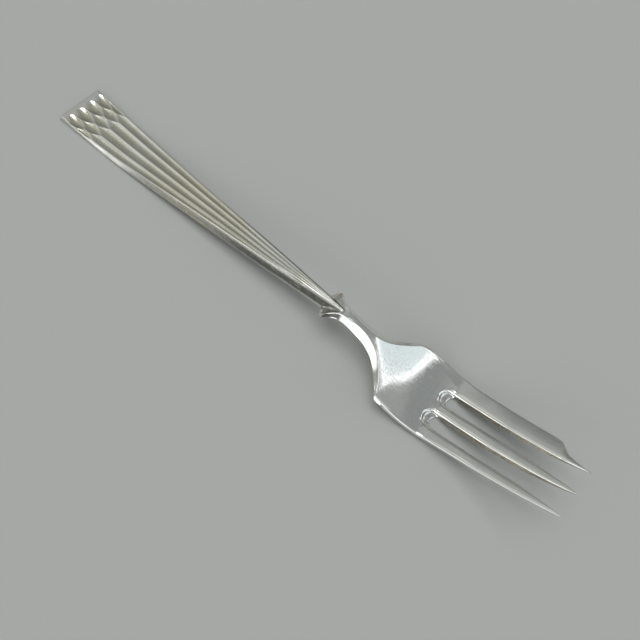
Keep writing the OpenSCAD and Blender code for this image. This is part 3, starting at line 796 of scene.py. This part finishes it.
def rim_room(pts, faces, follow, layer):
    """How far the next points inwards are from each point of the rims."""
    room = dict.fromkeys(follow, FAR_OFF)
    for face in faces:
        free = [v for v in face if v < layer and v not in follow]
        for v in face:
            if v not in follow:
                continue
            for u in free or [w for w in face if w != v]:
                gap = math.dist(pts[u][:2], pts[v][:2])
                room[v] = min(room[v], gap if free else 0.5 * gap)
    return room


def rim_way(here, ahead, behind):
    """Direction out of the metal, seen from above, at a point of a rim."""
    one, other = ahead[:2] - here[:2], here[:2] - behind[:2]
    way = one / (np.linalg.norm(one) + TINY) + other / (np.linalg.norm(other) + TINY)
    return np.array([way[1], -way[0]]) / (np.linalg.norm(way) + TINY)


def rim_strip(top, low, way, r, cuts, at_root):
    """Points round the top's edge, down the wall or a root's ramp and round the lower edge."""
    inward = np.array([-way[0], -way[1], 0]) * r
    down = (low - top) / (np.linalg.norm(low - top) + TINY) * r
    top_in, top_down = top + inward, top + down
    low_in, low_up = low + inward, low - down
    strip = [arc(top_in, top, top_down, k / cuts) for k in range(cuts + 1)]
    for out, fall in RAMP:
        fall = fall if at_root else out
        strip.append(np.append(top_down[:2] * (1 - out) + low_up[:2] * out,
                               top_down[2] * (1 - fall) + low_up[2] * fall))
    return strip + [arc(low_up, low, low_in, k / cuts) for k in range(cuts + 1)]


def round_rims(pts, faces, edges, layer, size, cuts):
    """Closes the skin along its open rims with rounded edges and a wall or ramp between."""
    follow, before = {}, {}
    for a, b in edges:
        follow.setdefault(a, b)
        before.setdefault(b, a)
    room = rim_room(pts, faces, follow, layer)
    made, strips = list(pts), {}
    for v in follow:
        top, low = pts[v], pts[v + layer]
        way = rim_way(top, pts[follow[v]], pts[before[v]])
        r = min(size, WALL_SHARE * np.linalg.norm(top - low), ROOM_SHARE * room[v])
        strip = rim_strip(top, low, way, r, cuts, in_slot(v % (COLUMNS + 1)))
        made[v], made[v + layer] = strip[0], strip[-1]
        strips[v] = [v, *range(len(made), len(made) + len(strip) - 2), v + layer]
        made.extend(strip[1:-1])
    for a, b in edges:
        sa, sb = strips[a], strips[b]
        for k in range(len(sa) - 1):
            faces.append((sa[k], sa[k + 1], sb[k + 1], sb[k]))
    return np.array(made), faces


# Node helpers
def node(tree, kind, inputs=None, **props):
    """A shader node with its properties and inputs set; an input is a value or a socket."""
    n = tree.nodes.new("ShaderNode" + kind)
    for name, value in props.items():
        setattr(n, name, value)
    for key, value in (inputs or {}).items():
        if isinstance(value, bpy.types.NodeSocket):
            tree.links.new(value, n.inputs[key])
        else:
            n.inputs[key].default_value = value
    return n


def fac(tree, kind, *values):
    """Output of a Math node."""
    return node(tree, "Math", dict(enumerate(values)), operation=kind).outputs[0]


def plus(tree, value, other, share):
    """value + other * share; a share is a number or a socket."""
    return fac(tree, "ADD", value, fac(tree, "MULTIPLY", other, share))


def spread(tree, value, low, high, to_low=0.0, to_high=1.0):
    """Value taken from low..high to to_low..to_high with a smooth step."""
    ends = {"From Min": low, "From Max": high, "To Min": to_low, "To Max": to_high}
    inputs = {"Value": value, **ends}
    return node(tree, "MapRange", inputs, interpolation_type="SMOOTHSTEP").outputs[0]


def mixed(tree, factor, one, other):
    """Colour between two colours or sockets."""
    full = [v if isinstance(v, bpy.types.NodeSocket) else (*v, 1) for v in (one, other)]
    return node(tree, "Mix", {0: factor, 6: full[0], 7: full[1]}, data_type="RGBA").outputs[2]


# Materials
def new_material(name):
    """A material, its node tree and its shader."""
    m = bpy.data.materials.new(name)
    m.use_nodes = True
    return m, m.node_tree, m.node_tree.nodes["Principled BSDF"]


def places_mm(tree):
    """Object coordinates in millimetres."""
    at = node(tree, "TexCoord").outputs["Object"]
    return node(tree, "VectorMath", {0: at, "Scale": 1000.0}, operation="SCALE").outputs[0]


def clouds(tree, at, scale, detail, rough):
    """Noise with about `scale` patches to the millimetre."""
    inputs = {"Vector": at, "Scale": scale, "Detail": detail, "Roughness": rough}
    return node(tree, "TexNoise", inputs).outputs["Fac"]


def scratches(tree, at, turn, along, across, keep):
    """Thin straight scratches in one direction: 1 on a scratch, 0 off it."""
    scale = (along, across, across * 0.2)
    inputs = {"Vector": at, "Rotation": (0, 0, math.radians(turn)), "Scale": scale}
    turned = node(tree, "Mapping", inputs).outputs[0]
    return spread(tree, clouds(tree, turned, 1.0, 2.0, 0.5), keep, keep + 0.035)


# Noise over the silver: patches to the millimetre, detail, roughness
NOISES = {
    "broad": (0.16, 4.0, 0.55), "mottle": (0.9, 5.0, 0.65),
    "grain": (2.6, 4.0, 0.7), "fine": (11.0, 2.0, 0.55),
}
MARKS = ("tarnish_and_painted_dark", "worn", "darkening")


def silver_fields(t, look):
    """What the silver's colour, roughness and bump are made from, each a share by name."""
    at = places_mm(t)
    f = {mark: node(t, "Attribute", attribute_name=mark).outputs["Fac"] for mark in MARKS}
    f.update({kind: clouds(t, at, *how) for kind, how in NOISES.items()})
    first, *others = [scratches(t, at, turn, *size) for turn, *size in look["scratches"]]
    for line in others:
        first = fac(t, "MAXIMUM", first, line)
    f["scratch"] = first
    # tarnish keeps to the hollows, with a slightly cloudy edge; the same mark carries painted
    # shade on the head's far spur and a faint painted dark reflection on the stem's flanks
    cloudy = plus(t, fac(t, "MULTIPLY", f["mottle"], 0.3), f["broad"], 0.6)
    dark = fac(t, "ADD", f["tarnish_and_painted_dark"], fac(t, "SUBTRACT", cloudy, 0.45))
    f["dark"] = spread(t, dark, *look["tarnish_and_painted_dark"])
    # one worn patch has more film and more fine pits than the rest
    centre, reach = look["patch"]
    gap = node(t, "VectorMath", {0: at, 1: centre}, operation="DISTANCE").outputs["Value"]
    f["patch"] = spread(t, plus(t, gap, f["broad"], 0.4 * reach), 1.3 * reach, 0.3 * reach)
    return f


def silver_colour(t, look, f):
    """Bright silver with film, then pits, tarnish with painted shade, the darkening mark (painted
    dark reflections, darker slot ramps) and worn edges over it.
    """
    film = spread(t, f["broad"], 0.42, 0.62, 0.0, look["film"])
    film = plus(t, film, f["patch"], look["patch_film"])
    pits = plus(t, look["speckle"], f["patch"], look["patch_speckle"])
    colour = mixed(t, film, look["bright"], look["warm"])
    for one, other, tone in (
        (spread(t, f["grain"], 0.5, 0.64), pits, "dull"),
        # the brown mark: tarnish, and the painted shade and painted dark reflection marked with it
        (f["dark"], look["tarnish_and_painted_dark_depth"], "brown"),
        # the darkening mark: painted dark reflections on the stem's flanks and the near spur, and
        # the slot ramps a little darker lower down
        (f["darkening"], spread(t, f["mottle"], 0.25, 0.6, 0.75, 1.0), "darkening"),
        (f["worn"], 0.6, "edge"),
    ):
        colour = mixed(t, fac(t, "MULTIPLY", one, other), colour, look[tone])
    return colour


def silver_rough(t, look, f):
    """Roughness: more on mottle, grain, tarnish and painted shade, scratches, and the darkening
    mark (painted dark reflections, darker slot ramps).
    """
    rough = look["rough"]
    for what, share in (
        (spread(t, f["mottle"], 0.4, 0.65), 0.05),
        (spread(t, f["grain"], 0.5, 0.66), look["grain_rough"]),
        (f["dark"], 0.16),
        (f["scratch"], 0.12),
        (f["darkening"], look["darkening_rough"]),
        (f["patch"], look["patch_rough"]),
        (f["worn"], -0.05),
    ):
        rough = plus(t, rough, what, share)
    return rough


def silver(name, look):
    """Worn silver plate: tarnish in the hollows, painted shade and painted dark reflections where
    marked, bright edges, fine scratches and grain.
    """
    m, t, shader = new_material(name)
    f = silver_fields(t, look)
    height = fac(t, "MULTIPLY", f["mottle"], look["waves"])
    for kind, share in (("grain", look["grain"]), ("fine", 0.12), ("scratch", -0.35)):
        height = plus(t, height, f[kind], share)
    bump = node(t, "Bump", {"Height": height, "Strength": 1.0, "Distance": look["bump"]})
    t.links.new(bump.outputs[0], shader.inputs["Normal"])
    t.links.new(silver_colour(t, look, f), shader.inputs["Base Color"])
    t.links.new(silver_rough(t, look, f), shader.inputs["Roughness"])
    shader.inputs["Metallic"].default_value = 1.0
    return m


# Marks of the head: shares of tarnish, of painted shade and of the darkening mark (a painted dark
# reflection, darker ramps), depths and lengths in mm
UNDER_TARNISH, TOP_TARNISH, SPUR_SHADE = 0.5, 0.1, 0.75
# how far short of the stem's point the far spur's painted shade stops, and the length it fades in
# over
SPUR_SHADE_STOP, SPUR_OVER = 1.5, 2.0
WALL_DARK, RAMP_LEAST, RAMP_CLEAN, RAMP_OVER = 0.35, 0.1, 0.9, 0.8
WORN_RIM, SLOPE_TO, SLOPE_DARK, SLOPE_DEPTH = 0.18, 0.6, 0.1, 0.15
# the near spur's painted dark reflection: ends along the fork and depths below the top, each with
# its soft width
SPUR_DARK_REFLECTION = ((88.1, 0.7), (92.3, 0.5), (0.12, 0.12), (1.75, 0.25))


def head_marks(points, layer):
    """Tarnish on the underside, the slots' walls darker downwards, painted shade on the far spur,
    a painted dark reflection on the near spur's wall, the slots' ramps darker lower down, wear
    along the top's rims.
    """
    x, y, z = points.T
    below = np.clip(top_z(x, y) - z, 0, None)
    in_slots = (np.abs(y) < inner_edge(x, NEAR_INNER, NEAR_TIP) + 0.1) & (x > ROOT_X - 0.5)
    number = np.arange(len(points))
    under = (number >= layer) & (number < 2 * layer)
    rim = number >= 2 * layer
    # the slots' walls darken downwards, but hardly on the ramps at their roots
    ramp = smooth_step((x - PAST_ROOTS - RAMP_CLEAN) / RAMP_OVER)
    ramp = RAMP_LEAST + (1 - RAMP_LEAST) * ramp
    walls_darker_down = ramp * np.clip(below / WALL_DARK, 0, 1)
    # painted shade on the far spur, over a little tarnish on the rest of the top
    far_spur_shade = smooth_step((STEM_LEN - SPUR_SHADE_STOP - x) / SPUR_OVER) * (y > 0)
    top_tarnish_and_shade = TOP_TARNISH + SPUR_SHADE * far_spur_shade
    tarnish_and_painted_dark = np.where(rim & in_slots, walls_darker_down, top_tarnish_and_shade)
    tarnish_and_painted_dark = np.where(under, UNDER_TARNISH, tarnish_and_painted_dark)
    worn = np.where(rim, np.clip(1 - below / WORN_RIM, 0, 1), 0)
    # the painted dark reflection on the near spur's wall: its ends and depths, each with its soft
    # width
    (x0, soft_x0), (x1, soft_x1), (z0, soft_z0), (z1, soft_z1) = SPUR_DARK_REFLECTION
    patch = smooth_step((x - x0) / soft_x0) * smooth_step((x1 - x) / soft_x1) * (y < 0) * rim
    patch = patch * smooth_step((below - z0) / soft_z0) * smooth_step((z1 - below) / soft_z1)
    # the ramps at the slots' roots are a little darker lower down
    slope = rim & in_slots & (x < PAST_ROOTS + SLOPE_TO)
    ramp_darker_low = SLOPE_DARK * smooth_step((below - SLOPE_DEPTH) / 0.1)
    darkening = np.where(slope, ramp_darker_low, patch)
    return {"tarnish_and_painted_dark": tarnish_and_painted_dark, "worn": worn, "darkening": darkening}


# Colours, strengths of the effects, roughness, and the bump's height in metres; patch: centre
# and reach in mm; scratches: turn in degrees, fineness along and across, threshold
STEM_LOOK = {
    "bright": (0.88, 0.88, 0.86), "warm": (0.80, 0.76, 0.63), "dull": (0.66, 0.65, 0.60),
    # the brown below colours the hollows' tarnish and the flanks' faint painted dark reflection
    "brown": (0.53, 0.505, 0.41), "edge": (0.95, 0.94, 0.92), "film": 0.3, "speckle": 0.15,
    "patch": ((-30.0, 0.0, 4.0), 22.0), "patch_film": 0.7, "patch_speckle": 0.1,
    # the dark grey (0.17, 0.17, 0.15) below colours the painted dark reflection on the flanks
    "patch_rough": 0.0, "darkening": (0.17, 0.17, 0.15), "darkening_rough": 0.05,
    "tarnish_and_painted_dark": (0.1, 1.1), "tarnish_and_painted_dark_depth": 0.8, "rough": 0.09, "grain_rough": 0.08,
    "grain": 0.5, "waves": 0.35, "bump": 2.5e-6,
    "scratches": [(8, 0.25, 5.0, 0.62), (-35, 0.3, 6.0, 0.66)],
}
HEAD_LOOK = {
    "bright": (0.88, 0.88, 0.87), "warm": (0.84, 0.84, 0.81), "dull": (0.66, 0.67, 0.66),
    # the brown below colours the tarnish and the painted shade on the far spur
    "brown": (0.33, 0.29, 0.21), "edge": (0.95, 0.95, 0.94), "film": 0.35, "speckle": 0.3,
    "patch": ((30.5, -1.5, 3.5), 7.0), "patch_film": 0.0, "patch_speckle": 0.55,
    # the black (0.07, 0.07, 0.07) below colours the painted dark reflection on the near spur and
    # the darker lower slot ramps
    "patch_rough": 0.06, "darkening": (0.07, 0.07, 0.07), "darkening_rough": 0.2,
    "tarnish_and_painted_dark": (0.5, 1.1), "tarnish_and_painted_dark_depth": 0.8, "rough": 0.06, "grain_rough": 0.12,
    "grain": 1.0, "waves": 0.15, "bump": 3e-6,
    "scratches": [
        (12, 0.22, 6.0, 0.62), (-28, 0.3, 6.0, 0.64), (70, 0.3, 7.0, 0.66), (-62, 0.25, 8.0, 0.66),
    ],
}


def solder_material():
    """The grey, slightly grainy seam of solder."""
    m, t, shader = new_material("solder_seam")
    at = places_mm(t)
    mottle, grain = clouds(t, at, 1.4, 4.0, 0.55), clouds(t, at, 6.0, 3.0, 0.7)
    colour = mixed(t, spread(t, mottle, 0.35, 0.65), (0.50, 0.49, 0.43), (0.30, 0.28, 0.22))
    colour = mixed(t, spread(t, grain, 0.55, 0.7, 0.0, 0.5), colour, (0.70, 0.70, 0.66))
    t.links.new(colour, shader.inputs["Base Color"])
    shader.inputs["Metallic"].default_value = 1.0
    t.links.new(spread(t, grain, 0.35, 0.7, 0.24, 0.5), shader.inputs["Roughness"])
    bump = node(t, "Bump", {"Height": grain, "Strength": 1.0, "Distance": 1e-5})
    t.links.new(bump.outputs[0], shader.inputs["Normal"])
    return m


# The three pieces
silver_stem = silver("silver_stem", STEM_LOOK)
silver_head = silver("silver_head", HEAD_LOOK)

stem = build_stem(silver_stem)
pts, faces, edges, layer = build_head()
pts, faces = round_rims(pts, faces, edges, layer, RIM_FILLET, RIM_CUTS)
head = make_object("head_silver_body", pts, faces, silver_head, head_marks(pts, layer))

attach(stem, "root")
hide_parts("handle")
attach(head, "root")
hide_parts("fork_head")
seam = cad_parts["solder_joint"].data.materials
seam.clear()
seam.append(solder_material())

# Floor, light, camera
WORLD_GAIN = 1.12
SKY_TONE = (148, 151, 149)
# Soft panels round the fork, later ones over earlier ones: azimuth, elevation, half width,
# half height, turn (degrees), softness (share), then screen tone and gain
PANELS = [
    (110, 12, 62, 22, 0, 0.5, (119, 121, 116, 1.0)),
    (60, 64, 42, 13.5, 0, 0.4, (134, 138, 137, 1.0)),
    (154, 50, 44, 10, 0, 0.6, (158, 159, 155, 1.0)),
    (194, 54, 17, 7, 0, 0.4, (200, 202, 197, 1.0)),
    (212, 42, 22, 11, 0, 0.5, (204, 206, 200, 1.0)),
    (232, 25, 18, 10, 0, 0.4, (184, 186, 180, 1.0)),
    (250, 46, 26, 14, 0, 0.5, (106, 108, 104, 1.0)),
    (-2, 29.5, 33.2, 22.4, -19, 0.03, (255, 255, 255, 1.9)),
    (-2, 29.5, 31.2, 20.5, -19, 0.04, (216, 227, 229, 1.0)),
    (57, 20, 9, 10, 0, 0.3, (255, 255, 252, 1.3)),
    (278, 3, 13, 7, 0, 0.4, (58, 62, 62, 1.0)),
    (257, 25.5, 23, 17.5, 0, 0.1, (255, 255, 252, 1.6)),
    (284, 22, 22, 17, 0, 0.15, (255, 255, 252, 1.5)),
    (212, 70, 8.5, 6.5, 0, 0.4, (255, 255, 250, 5.0)),
]
FLOOR_TONE, FLOOR_ROUGH = (0.345, 0.35, 0.345, 1), 0.7
bpy.ops.mesh.primitive_plane_add(size=3)
floor = bpy.context.object
floor.name = "floor"
pale_floor, _, floor_shader = new_material("pale_floor")
floor_shader.inputs["Base Color"].default_value = FLOOR_TONE
floor_shader.inputs["Roughness"].default_value = FLOOR_ROUGH
floor.data.materials.append(pale_floor)

world = bpy.data.worlds.new("studio")
bpy.context.scene.world = world
world.use_nodes = True
wt = world.node_tree
background = wt.nodes["Background"]


def aim(azimuth, elevation):
    """Unit vector towards a direction in degrees."""
    a, e = math.radians(azimuth), math.radians(elevation)
    return Vector((math.cos(a) * math.cos(e), math.sin(a) * math.cos(e), math.sin(e)))


sky_way = node(wt, "TexCoord").outputs["Generated"]


def towards(direction):
    """How far the seen direction of the surroundings points along this one."""
    ways = {0: sky_way, 1: tuple(direction)}
    return node(wt, "VectorMath", ways, operation="DOT_PRODUCT").outputs["Value"]


def panel(azimuth, elevation, wide, tall, turn, soft):
    """1 inside a soft-edged ellipse of the studio's surroundings, 0 outside; sizes in degrees."""
    d = aim(azimuth, elevation)
    side = Vector((-math.sin(math.radians(azimuth)), math.cos(math.radians(azimuth)), 0))
    upward = d.cross(side) * -1
    t = math.radians(turn)
    u = side * math.cos(t) + upward * math.sin(t)
    w = upward * math.cos(t) - side * math.sin(t)
    across = fac(wt, "DIVIDE", towards(u), math.sin(math.radians(wide)))
    along = fac(wt, "DIVIDE", towards(w), math.sin(math.radians(tall)))
    squares = plus(wt, fac(wt, "MULTIPLY", across, across), along, along)
    inside = spread(wt, fac(wt, "SQRT", squares), 1 + soft, 1 - soft)
    return fac(wt, "MULTIPLY", inside, fac(wt, "GREATER_THAN", towards(d), 0.0))


def linear(r, g, b, gain=1.0):
    """Light that shows as this screen tone (0 to 255), times a gain."""
    def light(c):
        return c / 12.92 if c < 0.04045 else ((c + 0.055) / 1.055) ** 2.4

    return tuple(gain * light(tone / 255) for tone in (r, g, b))


shade = linear(*SKY_TONE)
for *shape, tone in PANELS:
    shade = mixed(wt, panel(*shape), shade, linear(*tone))
wt.links.new(shade, background.inputs["Color"])
background.inputs["Strength"].default_value = WORLD_GAIN

# The overhead light: it gives the soft shadow and stays out of the silver's reflections
KEY_WAY, KEY_AWAY, KEY_SIZE, KEY_WATTS = aim(100, 83), 1.2, 1.0, 8.3
key_data = bpy.data.lights.new("overhead", "AREA")
key_data.shape = "DISK"
key_data.size = KEY_SIZE
key_data.energy = KEY_WATTS
key_data.color = (1.0, 0.995, 0.97)
key = bpy.data.objects.new("overhead", key_data)
bpy.context.collection.objects.link(key)
key.location = KEY_WAY * KEY_AWAY
key.rotation_euler = KEY_WAY.to_track_quat("Z", "Y").to_euler()
key.visible_glossy = False

# Camera fitted to the photo: heading, tilt down and roll in radians, focal length in pixels
HEADING, PITCH, ROLL = 0.6452, 1.1536, 0.1058
FOCAL, PICTURE, SENSOR = 680.05, 640, 36
CAMERA_AT = (0.049962, -0.052586, 0.142663)
ahead = Vector((-math.sin(HEADING), math.cos(HEADING), 0))
right = Vector((math.cos(HEADING), math.sin(HEADING), 0))
zenith = Vector((0, 0, 1))
forward = ahead * math.cos(PITCH) - zenith * math.sin(PITCH)
up = ahead * math.sin(PITCH) + zenith * math.cos(PITCH)
across = right * math.cos(ROLL) + up * math.sin(ROLL)
upright = -right * math.sin(ROLL) + up * math.cos(ROLL)
cam_data = bpy.data.cameras.new("camera")
cam_data.sensor_width = SENSOR
cam_data.lens = FOCAL / PICTURE * SENSOR
cam_data.clip_start = 0.01
cam = bpy.data.objects.new("camera", cam_data)
bpy.context.collection.objects.link(cam)
placed = Matrix((across, upright, -forward)).transposed().to_4x4()
placed.translation = Vector(CAMERA_AT)
cam.matrix_world = placed
bpy.context.scene.camera = cam
bpy.context.scene.view_settings.view_transform = "Standard"
